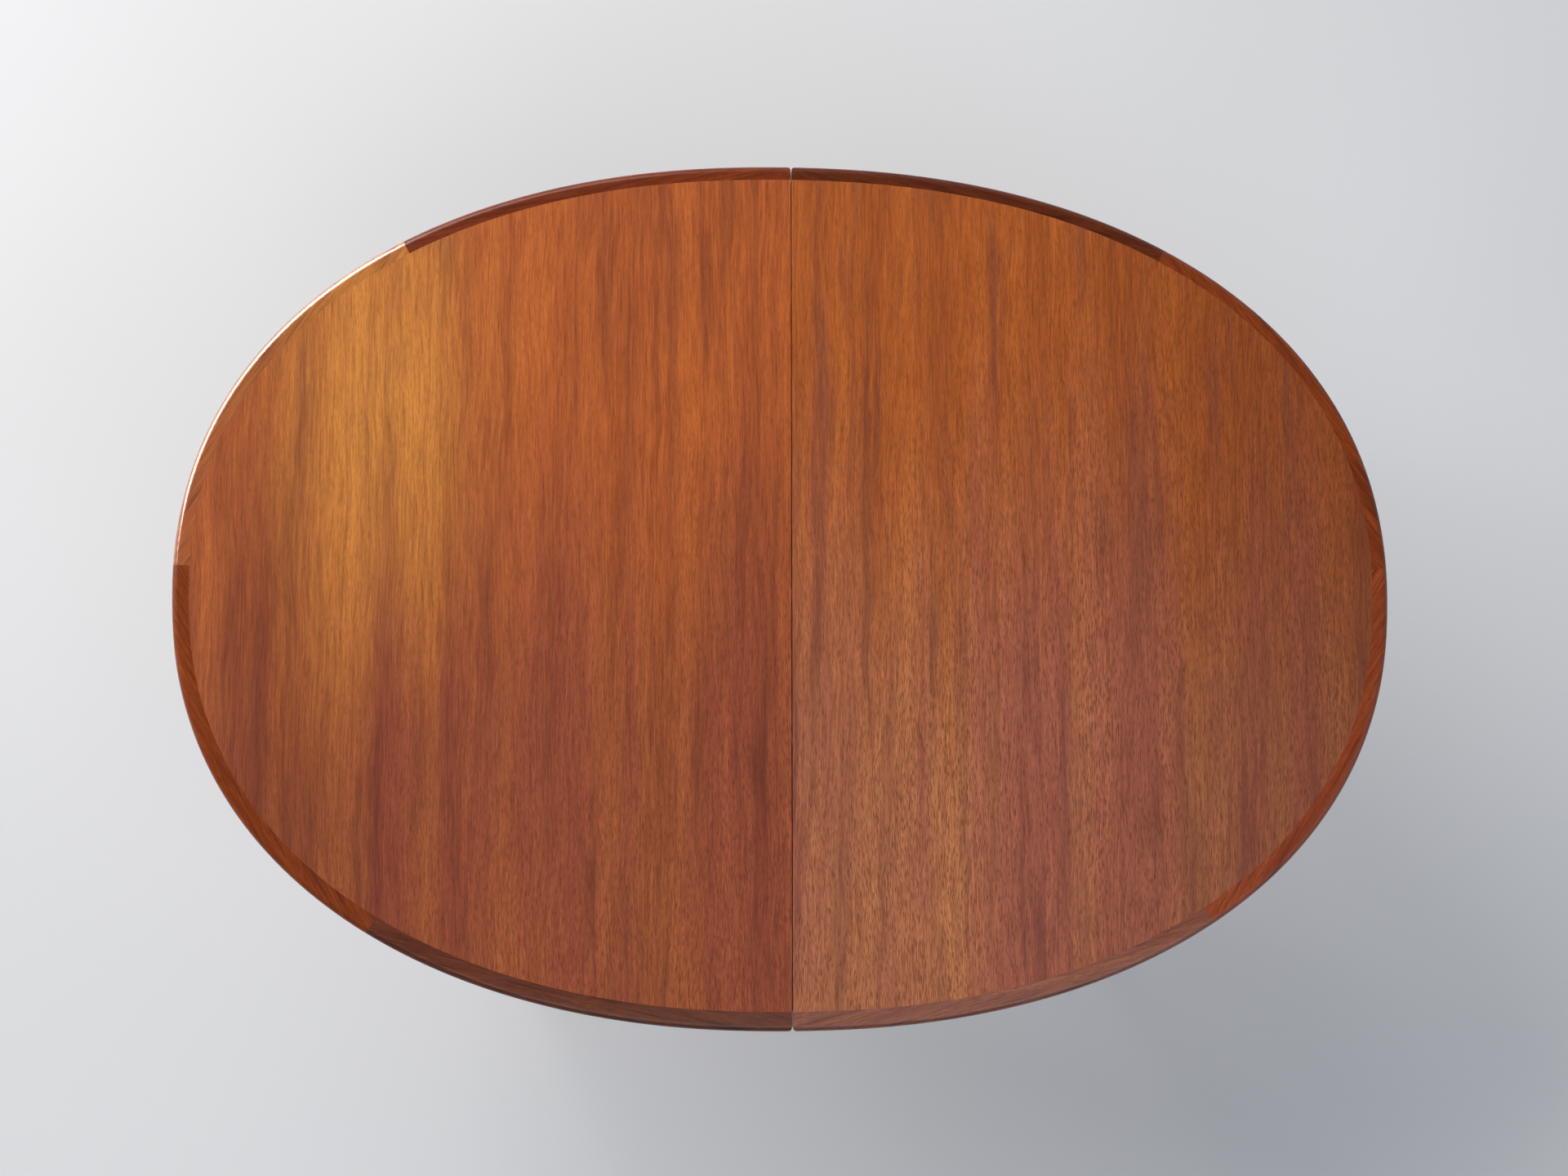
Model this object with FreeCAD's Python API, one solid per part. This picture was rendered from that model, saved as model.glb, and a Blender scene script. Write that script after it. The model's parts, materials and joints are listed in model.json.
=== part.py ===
"""Oval teak dining table whose top parts in the middle to let out a folded butterfly leaf.

The frame stands on four turned legs. Each half of the top is carried on two wooden runners that slide
in grooved guides. The leaf is stored under the top, folded face to face and hung on two pivots.
Millimetres, +Z up, origin on the floor under the middle of the top, +X along the table.
"""

import FreeCAD
import Part
import math
import os

V = FreeCAD.Vector
X_AXIS = V(1, 0, 0)
Y_AXIS = V(0, 1, 0)
Z_AXIS = V(0, 0, 1)
ORIGIN = V(0, 0, 0)

# Overall sizes
TABLE_LENGTH = 1500.0
TABLE_WIDTH = 1068.0
TABLE_HEIGHT = 730.0
OVERRUN = 5.0

# The two halves of the top
OUTLINE_POWER = 2.2
OUTLINE_POINTS = 48
TOP_THICKNESS = 22.0
LIPPING_WIDTH = 21.0
FIELD_SHIFT = 3.0
EDGE_ROUND = 8.0
CORNER_ROUND = 6.0
SPLIT_GAP = 1.2
RIGHT_JOINT_SHARES = (0.589, 0.028, -0.534)
LEFT_JOINT_SHARES = (2.544, 1.974, 1.419)
LIPPING_NAMES = ("a", "b", "c", "d")

# Dowels in the meeting edges
DOWEL_RADIUS = 5.0
DOWEL_REACH = 9.0
DOWEL_DEPTH = 25.0
DOWEL_CLEARANCE = 0.3
SPLIT_DOWEL_SHARES = (-0.7, 0.0, 0.7)
LEAF_DOWEL_SHARES = (0.3, 0.8)

# The folded leaf
LEAF_WIDTH = 500.0
LEAF_DROP = 80.0
FACE_GAP = 0.4
FOLD_GAP = 0.6

# Hinges between the two halves of the leaf
HINGE_PLACE_SHARES = (-0.36, 0.0, 0.36)
HINGE_LENGTH = 60.0
HINGE_HEIGHT = 15.0
HINGE_PLATE = 1.6
KNUCKLE_RADIUS = 2.5
KNUCKLE_CLEARANCE = 0.4
HINGE_PIN_RADIUS = 1.25
PIN_CLEARANCE = 0.05
KNUCKLE_COUNT = 5

# Pivots, rests and catches of the leaf
PIVOT_PIN_RADIUS = 5.0
BUSH_RADIUS = 8.0
PIVOT_CLEARANCE = 0.05
EAR_THICKNESS = 4.0
EAR_RADIUS = 12.0
FOOT_PLATE = 3.0
FOOT_LENGTH = 44.0
FOOT_WIDTH = 40.0
REST_PLACE_SHARE = 0.86
REST_PIN_RADIUS = 4.0
REST_PIN_DEPTH = 14.0
REST_CLEARANCE = 0.3
LUG_WIDTH = 24.0
LUG_LENGTH = 40.0
LUG_REACH = 9.0
CATCH_RADIUS = 6.0
CATCH_DEPTH = 12.0
CATCH_PLACE_SHARE = 0.62
STRIKE_DEPTH = 3.0

# Runners under the halves of the top
RUNNER_WIDTH = 24.0
RUNNER_DEPTH = 34.0
RUNNER_OVERHANG = 90.0
RUNNER_PAST = 180.0
RUNNER_RELIEF = 0.5
RUNNER_CLEARANCE = 0.3
LANE_GAP = 1.0
TONGUE_HEIGHT = 9.0
TONGUE_REACH = 8.0
OPENING_ALLOWANCE = 12.0
STOP_RADIUS = 5.0
STOP_DROP = 12.0
STOP_DEPTH = 20.0

# The frame
FRAME_LENGTH = 900.0
RAIL_THICKNESS = 22.0
RAIL_DEPTH = 84.0
TOP_CLEARANCE = 0.3
GUIDE_THICKNESS = 22.0
OUTER_GUIDE_THICKNESS = 26.0
GUIDE_DEPTH = 46.0
PACK_CLEARANCE = 4.0
CROSS_GAP = 12.0
CROSS_THICKNESS = 22.0
CROSS_DEPTH = 78.0
NOTCH_CLEARANCE = 1.0
TENON_THICKNESS = 10.0
TENON_LENGTH = 15.0
TENON_SHOULDER = 6.0
RAIL_EDGE_ROUND = 3.0

# Legs, feet and corner joints
LEG_TOP_RADIUS = 27.0
LEG_WAIST_RADIUS = 24.0
LEG_FOOT_RADIUS = 15.0
LEG_WAIST_SHARE = 0.5
LEG_ARRIS = 1.5
GLIDE_HEIGHT = 4.0
GLIDE_RADIUS = 11.0
GLIDE_PIN_RADIUS = 1.5
GLIDE_PIN_LENGTH = 16.0
BLOCK_LEG = 78.0
BLOCK_HEIGHT = 30.0
BLOCK_LIFT = 1.0
BOLT_RADIUS = 4.0
BOLT_GRIP = 16.0
BOLT_CLEARANCE = 0.3
BOLT_TAIL = 14.0
NUT_RADIUS = 7.5
NUT_HEIGHT = 6.5

# Wood screws
SCREW_RADIUS = 2.0
SCREW_HEAD_RADIUS = 4.0
SCREW_HEAD_HEIGHT = 2.2
SCREW_BITE = 14.0
RUNNER_SCREW_SHARES = (0.12, 0.42, 0.7)
PLATE_SCREW_BITE = 12.0
PLATE_SCREW_SHARE = 0.3
LUG_SCREW_SHARE = 0.25

# Heights
TOP_UNDER = TABLE_HEIGHT - TOP_THICKNESS
RAIL_TOP = TOP_UNDER - TOP_CLEARANCE
RAIL_BOTTOM = RAIL_TOP - RAIL_DEPTH
GUIDE_BOTTOM = RAIL_TOP - GUIDE_DEPTH
CROSS_BOTTOM = RAIL_TOP - CROSS_DEPTH
RUNNER_BOTTOM = TOP_UNDER - RUNNER_DEPTH
TONGUE_MIDDLE = TOP_UNDER - RUNNER_DEPTH / 2
NOTCH_BOTTOM = RUNNER_BOTTOM - NOTCH_CLEARANCE
TOP_MIDDLE = TABLE_HEIGHT - TOP_THICKNESS / 2
LEAF_PLANE = TABLE_HEIGHT - LEAF_DROP
PIVOT_HEIGHT = TABLE_HEIGHT - LEAF_DROP / 2
PIVOT_LEAF_UNDER = LEAF_PLANE + TOP_THICKNESS

# Places across the table
HALF_WIDTH = TABLE_WIDTH / 2
PACK_HALF = HALF_WIDTH / 2
PIVOT_Y = -PACK_HALF / 2
HINGE_Y = -PACK_HALF
GUIDE_INSIDE = PACK_HALF + PACK_CLEARANCE
GUIDE_OUTSIDE = GUIDE_INSIDE + GUIDE_THICKNESS
INNER_LANE = GUIDE_OUTSIDE + RUNNER_CLEARANCE
OUTER_LANE = INNER_LANE + RUNNER_WIDTH + LANE_GAP
OUTER_GUIDE_INSIDE = OUTER_LANE + RUNNER_WIDTH + RUNNER_CLEARANCE
SIDE_INSIDE = OUTER_GUIDE_INSIDE + OUTER_GUIDE_THICKNESS
SIDE_OUTSIDE = SIDE_INSIDE + RAIL_THICKNESS
LEG_Y = SIDE_INSIDE + RAIL_THICKNESS / 2

# Places along the table
HALF_LENGTH = TABLE_LENGTH / 2
LEAF_HALF = LEAF_WIDTH / 2
CROSS_INSIDE = LEAF_HALF + CROSS_GAP
END_OUTSIDE = FRAME_LENGTH / 2
END_INSIDE = END_OUTSIDE - RAIL_THICKNESS
RUNNER_OUT = END_OUTSIDE + RUNNER_OVERHANG
LEG_X = END_OUTSIDE - RAIL_THICKNESS / 2
SLIDE_TRAVEL = LEAF_HALF + OPENING_ALLOWANCE
STOP_X = END_INSIDE - SLIDE_TRAVEL - STOP_RADIUS - RUNNER_CLEARANCE


def block(x_range, y_range, z_range):
    """Box between two corners, given as low and high along each axis."""
    size = [high - low for low, high in (x_range, y_range, z_range)]
    return Part.makeBox(*size, V(x_range[0], y_range[0], z_range[0]))


def rod(radius, start, direction, length):
    return Part.makeCylinder(radius, length, start, direction)


def half_turn(shape):
    """The same shape on the other end of the table."""
    turned = shape.copy()
    turned.rotate(ORIGIN, Z_AXIS, 180)
    return turned


def mirrored(shape, normal):
    return shape.mirror(ORIGIN, normal)


def save(name, *solids):
    shape = solids[0] if len(solids) == 1 else Part.makeCompound(list(solids))
    if len(solids) == 1 and len(shape.Solids) == 1:
        shape = shape.Solids[0]
    shape.exportStep(os.path.join("parts", name + ".step"))


def power(base, exponent):
    """Signed power, so that the outline's formula holds in every quadrant."""
    return math.copysign(abs(base) ** exponent, base)


def outline_point(angle, inset):
    """Point of the oval's outline, drawn in along its normal by inset."""
    x = HALF_LENGTH * power(math.cos(angle), 2 / OUTLINE_POWER)
    y = HALF_WIDTH * power(math.sin(angle), 2 / OUTLINE_POWER)
    normal = V(
        power(x / HALF_LENGTH, OUTLINE_POWER - 1) / HALF_LENGTH,
        power(y / HALF_WIDTH, OUTLINE_POWER - 1) / HALF_WIDTH,
        0,
    )
    return V(x, y, 0) - normal.normalize() * inset


def oval_board(inset):
    """The whole oval top as one board, drawn in by inset."""
    step = math.radians(360) / OUTLINE_POINTS
    points = [outline_point(step * i, inset) for i in range(OUTLINE_POINTS)]
    curve = Part.BSplineCurve()
    curve.interpolate(Points=points, PeriodicFlag=True)
    return slab([curve.toShape()], TOP_UNDER)


def line(start, end):
    return Part.LineSegment(start, end).toShape()


def slab(edges, height):
    """Board of the top's thickness over a plan outline."""
    face = Part.Face(Part.Wire(Part.__sortEdges__(edges)))
    face.translate(V(0, 0, height))
    return face.extrude(V(0, 0, TOP_THICKNESS))


def rounded_rim(board, is_rim):
    """Rounds the upper and lower edges of a board wherever is_rim says that the edge is on its rim."""
    tolerance = FACE_GAP / 2
    rim = [e for e in board.Edges if e.BoundBox.ZLength < tolerance and is_rim(e.CenterOfMass)]
    return board.makeFillet(EDGE_ROUND, rim)


def corner_waste(corner, inward):
    """What is cut away to round a board's corner in plan; inward points from the corner into the board."""
    height = TABLE_HEIGHT + OVERRUN
    centre = corner + inward * CORNER_ROUND
    out = corner - inward * OVERRUN
    square = block(sorted((centre.x, out.x)), sorted((centre.y, out.y)), (0, height))
    return square.cut(rod(CORNER_ROUND, V(centre.x, centre.y, 0), Z_AXIS, height))


def right_side():
    """Room for the right half of the top, up to its meeting edge."""
    reach = TABLE_LENGTH + OVERRUN
    return block((SPLIT_GAP / 2, reach), (-reach, reach), (0, TABLE_HEIGHT + OVERRUN))


def half_top():
    """Right half of the top as one board with its rounded rim and corners."""
    board = rounded_rim(oval_board(0), lambda middle: True).common(right_side())
    ends = [corner_waste(V(SPLIT_GAP / 2, -side * HALF_WIDTH, 0), V(1, side, 0)) for side in (-1, 1)]
    return board.cut(ends)


def lipping_core():
    """Everything inside the lipping of the right half, which is a little wider along the front."""
    field = oval_board(LIPPING_WIDTH)
    field.translate(Y_AXIS * FIELD_SHIFT)
    return field.common(right_side())


def rim_sector(start, end):
    """Stretch of the rim between two square joints, each a share of a right angle from +X."""
    first, last = (math.radians(90 * share) for share in (start, end))
    inside = LIPPING_WIDTH + LIPPING_WIDTH
    corners = [
        outline_point(first, inside),
        outline_point(first, -TABLE_WIDTH),
        outline_point((first + last) / 2, -TABLE_WIDTH),
        outline_point(last, -TABLE_WIDTH),
        outline_point(last, inside),
    ]
    face = Part.Face(Part.makePolygon(corners + corners[:1]))
    return face.extrude(V(0, 0, TABLE_HEIGHT + OVERRUN))


def split_dowel_places():
    return [V(0, share * HALF_WIDTH, TOP_MIDDLE) for share in SPLIT_DOWEL_SHARES]


def split_dowels():
    length = DOWEL_DEPTH + DOWEL_REACH
    return [rod(DOWEL_RADIUS, p - X_AXIS * DOWEL_DEPTH, X_AXIS, length) for p in split_dowel_places()]


def dowel_sockets():
    """Bores in the right half that the split dowels slide into."""
    radius = DOWEL_RADIUS + DOWEL_CLEARANCE
    depth = DOWEL_REACH + DOWEL_RADIUS
    return [rod(radius, p, X_AXIS, depth) for p in split_dowel_places()]


def wood_screw(head, direction, bite):
    """Countersunk screw whose head is flush at a point and whose shank runs along a direction."""
    cone = Part.makeCone(SCREW_HEAD_RADIUS, SCREW_RADIUS, SCREW_HEAD_HEIGHT, head, direction)
    return cone.fuse(rod(SCREW_RADIUS, head, direction, bite)).removeSplitter()


def right_runner(lane, side):
    """Runner of the right half in a lane, on the front (-1) or back (+1) side of the table."""
    inner = lane == INNER_LANE
    low, high = sorted((side * lane, side * (lane + RUNNER_WIDTH)))
    runner = block((-RUNNER_PAST, RUNNER_OUT), (low, high), (RUNNER_BOTTOM, TOP_UNDER))
    relief = block(
        (-RUNNER_PAST - OVERRUN, SPLIT_GAP / 2),
        (low - OVERRUN, high + OVERRUN),
        (TOP_UNDER - RUNNER_RELIEF, TOP_UNDER + OVERRUN),
    )
    root = lane if inner else lane + RUNNER_WIDTH
    tip = root - TONGUE_REACH if inner else root + TONGUE_REACH
    tongue = block(
        (-RUNNER_PAST, RUNNER_OUT),
        sorted((side * root, side * tip)),
        (TONGUE_MIDDLE - TONGUE_HEIGHT / 2, TONGUE_MIDDLE + TONGUE_HEIGHT / 2),
    )
    shaped = runner.cut(relief).fuse(tongue).removeSplitter()
    middle = side * (lane + RUNNER_WIDTH / 2)
    bite = RUNNER_DEPTH + SCREW_BITE
    screws = [
        wood_screw(V(share * RUNNER_OUT, middle, RUNNER_BOTTOM), Z_AXIS, bite)
        for share in RUNNER_SCREW_SHARES
    ]
    peg = rod(STOP_RADIUS, V(STOP_X, middle, RUNNER_BOTTOM - STOP_DROP), Z_AXIS, STOP_DROP + STOP_DEPTH)
    return shaped.cut([*screws, peg]), screws, peg


def build_tops():
    board = half_top()
    core = lipping_core()
    back_runner, back_screws, back_peg = right_runner(OUTER_LANE, 1)
    front_runner, front_screws, front_peg = right_runner(INNER_LANE, -1)
    screws = back_screws + front_screws
    left_screws = [half_turn(s) for s in screws]
    panel = board.common(core)
    rim = board.cut(core)
    dowels = split_dowels()
    save("right_top_panel", panel.cut(screws + dowel_sockets()))
    save("left_top_panel", mirrored(panel, X_AXIS).cut(left_screws + dowels))
    save("split_dowels", *dowels)
    save("right_back_runner", back_runner)
    save("right_front_runner", front_runner)
    save("left_front_runner", half_turn(back_runner))
    save("left_back_runner", half_turn(front_runner))
    save("right_runner_screws", *screws)
    save("left_runner_screws", *left_screws)
    save("right_stop_pegs", back_peg, front_peg)
    save("left_stop_pegs", half_turn(back_peg), half_turn(front_peg))
    save_lipping("right", rim, (1, *RIGHT_JOINT_SHARES, -1))
    save_lipping("left", mirrored(rim, X_AXIS), (3, *LEFT_JOINT_SHARES, 1))


def save_lipping(side, rim, joint_shares):
    for name, start, end in zip(LIPPING_NAMES, joint_shares, joint_shares[1:]):
        save(side + "_lipping_" + name, rim.common(rim_sector(start, end)))


def leaf_board():
    """Half of the leaf lying face down in the stored place of the pivoting half, and its lipping."""
    far = PACK_HALF
    board = block(
        (-LEAF_HALF, LEAF_HALF),
        (HINGE_Y + FOLD_GAP / 2, far),
        (LEAF_PLANE + FACE_GAP / 2, PIVOT_LEAF_UNDER + FACE_GAP / 2),
    )
    board = rounded_rim(board, lambda middle: middle.y > far - EDGE_ROUND)
    board = board.cut([corner_waste(V(side * LEAF_HALF, far, 0), V(-side, -1, 0)) for side in (-1, 1)])
    whole = board.BoundBox
    edge = block(
        (whole.XMin - OVERRUN, whole.XMax + OVERRUN),
        (far - LIPPING_WIDTH, far + OVERRUN),
        (whole.ZMin - OVERRUN, whole.ZMax + OVERRUN),
    )
    return board.cut(edge), board.common(edge)


def leaf_dowels(height):
    """Dowels in the left edge of a half leaf, and the bores in its right edge."""
    places = [V(0, HINGE_Y + share * HALF_WIDTH, height) for share in LEAF_DOWEL_SHARES]
    depth = DOWEL_REACH + DOWEL_RADIUS
    tip = X_AXIS * (LEAF_HALF + DOWEL_REACH)
    dowels = [rod(DOWEL_RADIUS, p - tip, X_AXIS, DOWEL_REACH + DOWEL_DEPTH) for p in places]
    radius = DOWEL_RADIUS + DOWEL_CLEARANCE
    sockets = [rod(radius, p + X_AXIS * (LEAF_HALF - depth), X_AXIS, depth + OVERRUN) for p in places]
    return dowels, sockets


def hinge_axis(x):
    return V(x, HINGE_Y, LEAF_PLANE)


def hinge_places():
    return [share * LEAF_WIDTH for share in HINGE_PLACE_SHARES]


def hinge_plate(x, upper):
    """One leaf of a hinge with its knuckles, let into the edge of the upper or the lower half."""
    start = x - HINGE_LENGTH / 2
    face = HINGE_Y + FOLD_GAP / 2
    sign = 1 if upper else -1
    span = sorted((LEAF_PLANE + sign * FACE_GAP / 2, LEAF_PLANE + sign * HINGE_HEIGHT))
    plate = block((start, start + HINGE_LENGTH), (face, face + HINGE_PLATE), span)
    gap = KNUCKLE_RADIUS + KNUCKLE_CLEARANCE
    knuckle = HINGE_LENGTH / KNUCKLE_COUNT
    for i in range(KNUCKLE_COUNT):
        first = V(start + i * knuckle, HINGE_Y, LEAF_PLANE)
        if (i % 2 == 0) == upper:
            inset = X_AXIS * (KNUCKLE_CLEARANCE / 2)
            plate = plate.fuse(rod(KNUCKLE_RADIUS, first + inset, X_AXIS, knuckle - KNUCKLE_CLEARANCE))
        else:
            plate = plate.cut(rod(gap, first, X_AXIS, knuckle))
    bore = HINGE_PIN_RADIUS if upper else HINGE_PIN_RADIUS + PIN_CLEARANCE
    return plate.cut(rod(bore, hinge_axis(start), X_AXIS, HINGE_LENGTH)).removeSplitter()


def hinge_mortises():
    """Room for the hinges' plates and knuckles in the meeting edges of the leaf."""
    cuts = []
    gap = KNUCKLE_RADIUS + KNUCKLE_CLEARANCE
    for x in hinge_places():
        start = x - HINGE_LENGTH / 2
        cuts.append(rod(gap, hinge_axis(start), X_AXIS, HINGE_LENGTH))
        cuts.append(
            block(
                (start, start + HINGE_LENGTH),
                (HINGE_Y, HINGE_Y + FOLD_GAP / 2 + HINGE_PLATE),
                (LEAF_PLANE - HINGE_HEIGHT, LEAF_PLANE + HINGE_HEIGHT),
            )
        )
    return cuts


def hinge_pins():
    starts = [x - HINGE_LENGTH / 2 for x in hinge_places()]
    return [rod(HINGE_PIN_RADIUS, hinge_axis(start), X_AXIS, HINGE_LENGTH) for start in starts]


def catch_places():
    y = CATCH_PLACE_SHARE * PACK_HALF
    return [V(side * CATCH_PLACE_SHARE * LEAF_HALF, y, LEAF_PLANE) for side in (-1, 1)]


def pivot_bracket():
    """Right-hand pivot bracket: a foot plate under the leaf with an upright ear, and its screws."""
    low = PIVOT_LEAF_UNDER + FACE_GAP / 2
    foot = block(
        (LEAF_HALF - FOOT_LENGTH, LEAF_HALF),
        (PIVOT_Y - FOOT_WIDTH / 2, PIVOT_Y + FOOT_WIDTH / 2),
        (low, low + FOOT_PLATE),
    )
    inside = LEAF_HALF - EAR_THICKNESS
    neck = block((inside, LEAF_HALF), (PIVOT_Y - EAR_RADIUS, PIVOT_Y + EAR_RADIUS), (low, PIVOT_HEIGHT))
    eye = rod(EAR_RADIUS, V(inside, PIVOT_Y, PIVOT_HEIGHT), X_AXIS, EAR_THICKNESS)
    screw_x = inside - FOOT_LENGTH / 2
    reach = PLATE_SCREW_SHARE * FOOT_WIDTH
    screws = [
        wood_screw(V(screw_x, PIVOT_Y + side * reach, low + FOOT_PLATE), -Z_AXIS, PLATE_SCREW_BITE)
        for side in (-1, 1)
    ]
    pin = rod(
        PIVOT_PIN_RADIUS,
        V(inside, PIVOT_Y, PIVOT_HEIGHT),
        X_AXIS,
        EAR_THICKNESS + CROSS_GAP + CROSS_THICKNESS,
    )
    bracket = foot.fuse([neck, eye]).removeSplitter()
    return bracket.cut([*screws, pin]), screws, pin


def rest_lug():
    """Right-hand plate that carries the free end of the stored leaf on its rest pin, and its screw."""
    y = REST_PLACE_SHARE * PACK_HALF
    low = PIVOT_LEAF_UNDER + FACE_GAP / 2
    inside = LEAF_HALF + LUG_REACH - LUG_LENGTH
    lug = block(
        (inside, LEAF_HALF + LUG_REACH), (y - LUG_WIDTH / 2, y + LUG_WIDTH / 2), (low, low + FOOT_PLATE)
    )
    head = V(inside + LUG_SCREW_SHARE * LUG_LENGTH, y, low + FOOT_PLATE)
    screw = wood_screw(head, -Z_AXIS, PLATE_SCREW_BITE)
    return lug.cut(screw), screw


def build_leaf():
    panel, lipping = leaf_board()
    mortises = hinge_mortises()
    upper_dowels, upper_sockets = leaf_dowels(LEAF_PLANE + TOP_THICKNESS / 2)
    lower_dowels, lower_sockets = leaf_dowels(LEAF_PLANE - TOP_THICKNESS / 2)
    bracket, bracket_screws, pin = pivot_bracket()
    lug, lug_screw = rest_lug()
    metal_screws = [*bracket_screws, lug_screw]
    all_screws = metal_screws + [mirrored(s, X_AXIS) for s in metal_screws]
    catches = [rod(CATCH_RADIUS, p + Z_AXIS * FACE_GAP / 2, Z_AXIS, CATCH_DEPTH) for p in catch_places()]
    strikes = [rod(CATCH_RADIUS, p - Z_AXIS * FACE_GAP / 2, -Z_AXIS, STRIKE_DEPTH) for p in catch_places()]

    def below(shape):
        """The folding half is the pivoting half reflected in the plane where their faces meet."""
        return shape.mirror(V(0, 0, LEAF_PLANE), Z_AXIS)

    upper_bores = [*upper_dowels, *upper_sockets, *catches, *all_screws]
    lower_bores = [*lower_dowels, *lower_sockets, *strikes]
    save("pivoting_leaf_panel", panel.cut(mortises + upper_bores))
    save("pivoting_leaf_lipping", lipping)
    save("folding_leaf_panel", below(panel).cut(mortises + lower_bores))
    save("folding_leaf_lipping", below(lipping))
    save("pivoting_leaf_dowels", *upper_dowels)
    save("folding_leaf_dowels", *lower_dowels)
    save("pivoting_leaf_hinge_plates", *[hinge_plate(x, True) for x in hinge_places()])
    save("folding_leaf_hinge_plates", *[hinge_plate(x, False) for x in hinge_places()])
    save("leaf_hinge_pins", *hinge_pins())
    save("leaf_catches", *catches)
    save("leaf_catch_strikes", *strikes)
    save("right_pivot_bracket", bracket)
    save("left_pivot_bracket", mirrored(bracket, X_AXIS))
    save("pivot_pins", pin, mirrored(pin, X_AXIS))
    save("leaf_rest_lugs", lug, mirrored(lug, X_AXIS))
    save("leaf_plate_screws", *all_screws)


def leg_profile():
    """Turned leg about the Z axis: straight where the rails join, then a swelling taper to the foot."""
    joint = RAIL_BOTTOM - RAIL_EDGE_ROUND
    waist = GLIDE_HEIGHT + (joint - GLIDE_HEIGHT) * LEG_WAIST_SHARE
    taper = Part.BSplineCurve()
    taper.interpolate(
        Points=[
            V(LEG_FOOT_RADIUS, 0, GLIDE_HEIGHT + LEG_ARRIS),
            V(LEG_WAIST_RADIUS, 0, waist),
            V(LEG_TOP_RADIUS, 0, joint),
        ],
        FinalTangent=Z_AXIS,
    )
    corners = [
        V(LEG_TOP_RADIUS, 0, joint),
        V(LEG_TOP_RADIUS, 0, RAIL_TOP),
        V(0, 0, RAIL_TOP),
        V(0, 0, GLIDE_HEIGHT),
        V(LEG_FOOT_RADIUS - LEG_ARRIS, 0, GLIDE_HEIGHT),
        V(LEG_FOOT_RADIUS, 0, GLIDE_HEIGHT + LEG_ARRIS),
    ]
    edges = [taper.toShape()] + [line(a, b) for a, b in zip(corners, corners[1:])]
    face = Part.Face(Part.Wire(Part.__sortEdges__(edges)))
    return face.revolve(ORIGIN, Z_AXIS, 360)


def leg_socket():
    """Straight upper part of the leg at the back right corner, which the rails are coped round."""
    low = RAIL_BOTTOM - OVERRUN
    return rod(LEG_TOP_RADIUS, V(LEG_X, LEG_Y, low), Z_AXIS, RAIL_TOP + OVERRUN - low)


def rounded_below(rail):
    """Rounds the two long lower edges of a rail."""
    limit = RAIL_BOTTOM + RAIL_EDGE_ROUND
    longest = max(e.Length for e in rail.Edges)
    lower = [e for e in rail.Edges if e.BoundBox.ZMax < limit and e.Length > longest / 2]
    return rail.makeFillet(RAIL_EDGE_ROUND, lower)


def back_side_rail():
    """Rail along the table, coped to the legs, with a tenon at each end."""
    rail = block((-LEG_X, LEG_X), (SIDE_INSIDE, SIDE_OUTSIDE), (RAIL_BOTTOM, RAIL_TOP))
    socket = leg_socket()
    rail = rounded_below(rail).cut([socket, mirrored(socket, X_AXIS)])
    reach = LEG_X - LEG_TOP_RADIUS + TENON_LENGTH
    tenon = block(
        (-reach, reach),
        (LEG_Y - TENON_THICKNESS / 2, LEG_Y + TENON_THICKNESS / 2),
        (RAIL_BOTTOM + TENON_SHOULDER, NOTCH_BOTTOM - TENON_SHOULDER),
    )
    return rail.fuse(tenon).removeSplitter()


def right_end_rail():
    """Rail across the table, coped to the legs and notched for the runners, with a tenon at each end."""
    rail = block((END_INSIDE, END_OUTSIDE), (-LEG_Y, LEG_Y), (RAIL_BOTTOM, RAIL_TOP))
    socket = leg_socket()
    notch = block(
        (END_INSIDE - OVERRUN, END_OUTSIDE + OVERRUN),
        (GUIDE_OUTSIDE, LEG_Y + OVERRUN),
        (NOTCH_BOTTOM, RAIL_TOP + OVERRUN),
    )
    groove = guide_groove(GUIDE_OUTSIDE, -1, END_OUTSIDE + OVERRUN)
    cuts = [socket, notch, groove]
    rail = rounded_below(rail).cut(cuts + [mirrored(c, Y_AXIS) for c in cuts])
    reach = LEG_Y - LEG_TOP_RADIUS + TENON_LENGTH - TENON_SHOULDER
    tenon = block(
        (LEG_X - TENON_THICKNESS / 2, LEG_X + TENON_THICKNESS / 2),
        (-reach, reach),
        (RAIL_BOTTOM + TENON_SHOULDER, NOTCH_BOTTOM - TENON_SHOULDER),
    )
    return rail.fuse(tenon).removeSplitter()


def guide_groove(face_y, direction, half_length):
    """Groove for a runner's tongue, cut from a face towards -Y or +Y."""
    reach = TONGUE_REACH + RUNNER_CLEARANCE
    return block(
        (-half_length, half_length),
        sorted((face_y - direction * OVERRUN, face_y + direction * reach)),
        (
            TONGUE_MIDDLE - TONGUE_HEIGHT / 2 - RUNNER_CLEARANCE,
            TONGUE_MIDDLE + TONGUE_HEIGHT / 2 + RUNNER_CLEARANCE,
        ),
    )


def back_inner_guide():
    guide = block((-END_INSIDE, END_INSIDE), (GUIDE_INSIDE, GUIDE_OUTSIDE), (GUIDE_BOTTOM, RAIL_TOP))
    return guide.cut(guide_groove(GUIDE_OUTSIDE, -1, END_INSIDE + OVERRUN))


def back_outer_guide():
    half = LEG_X - LEG_TOP_RADIUS
    guide = block((-half, half), (OUTER_GUIDE_INSIDE, SIDE_INSIDE), (GUIDE_BOTTOM, RAIL_TOP))
    return guide.cut(guide_groove(OUTER_GUIDE_INSIDE, 1, half + OVERRUN))


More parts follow.
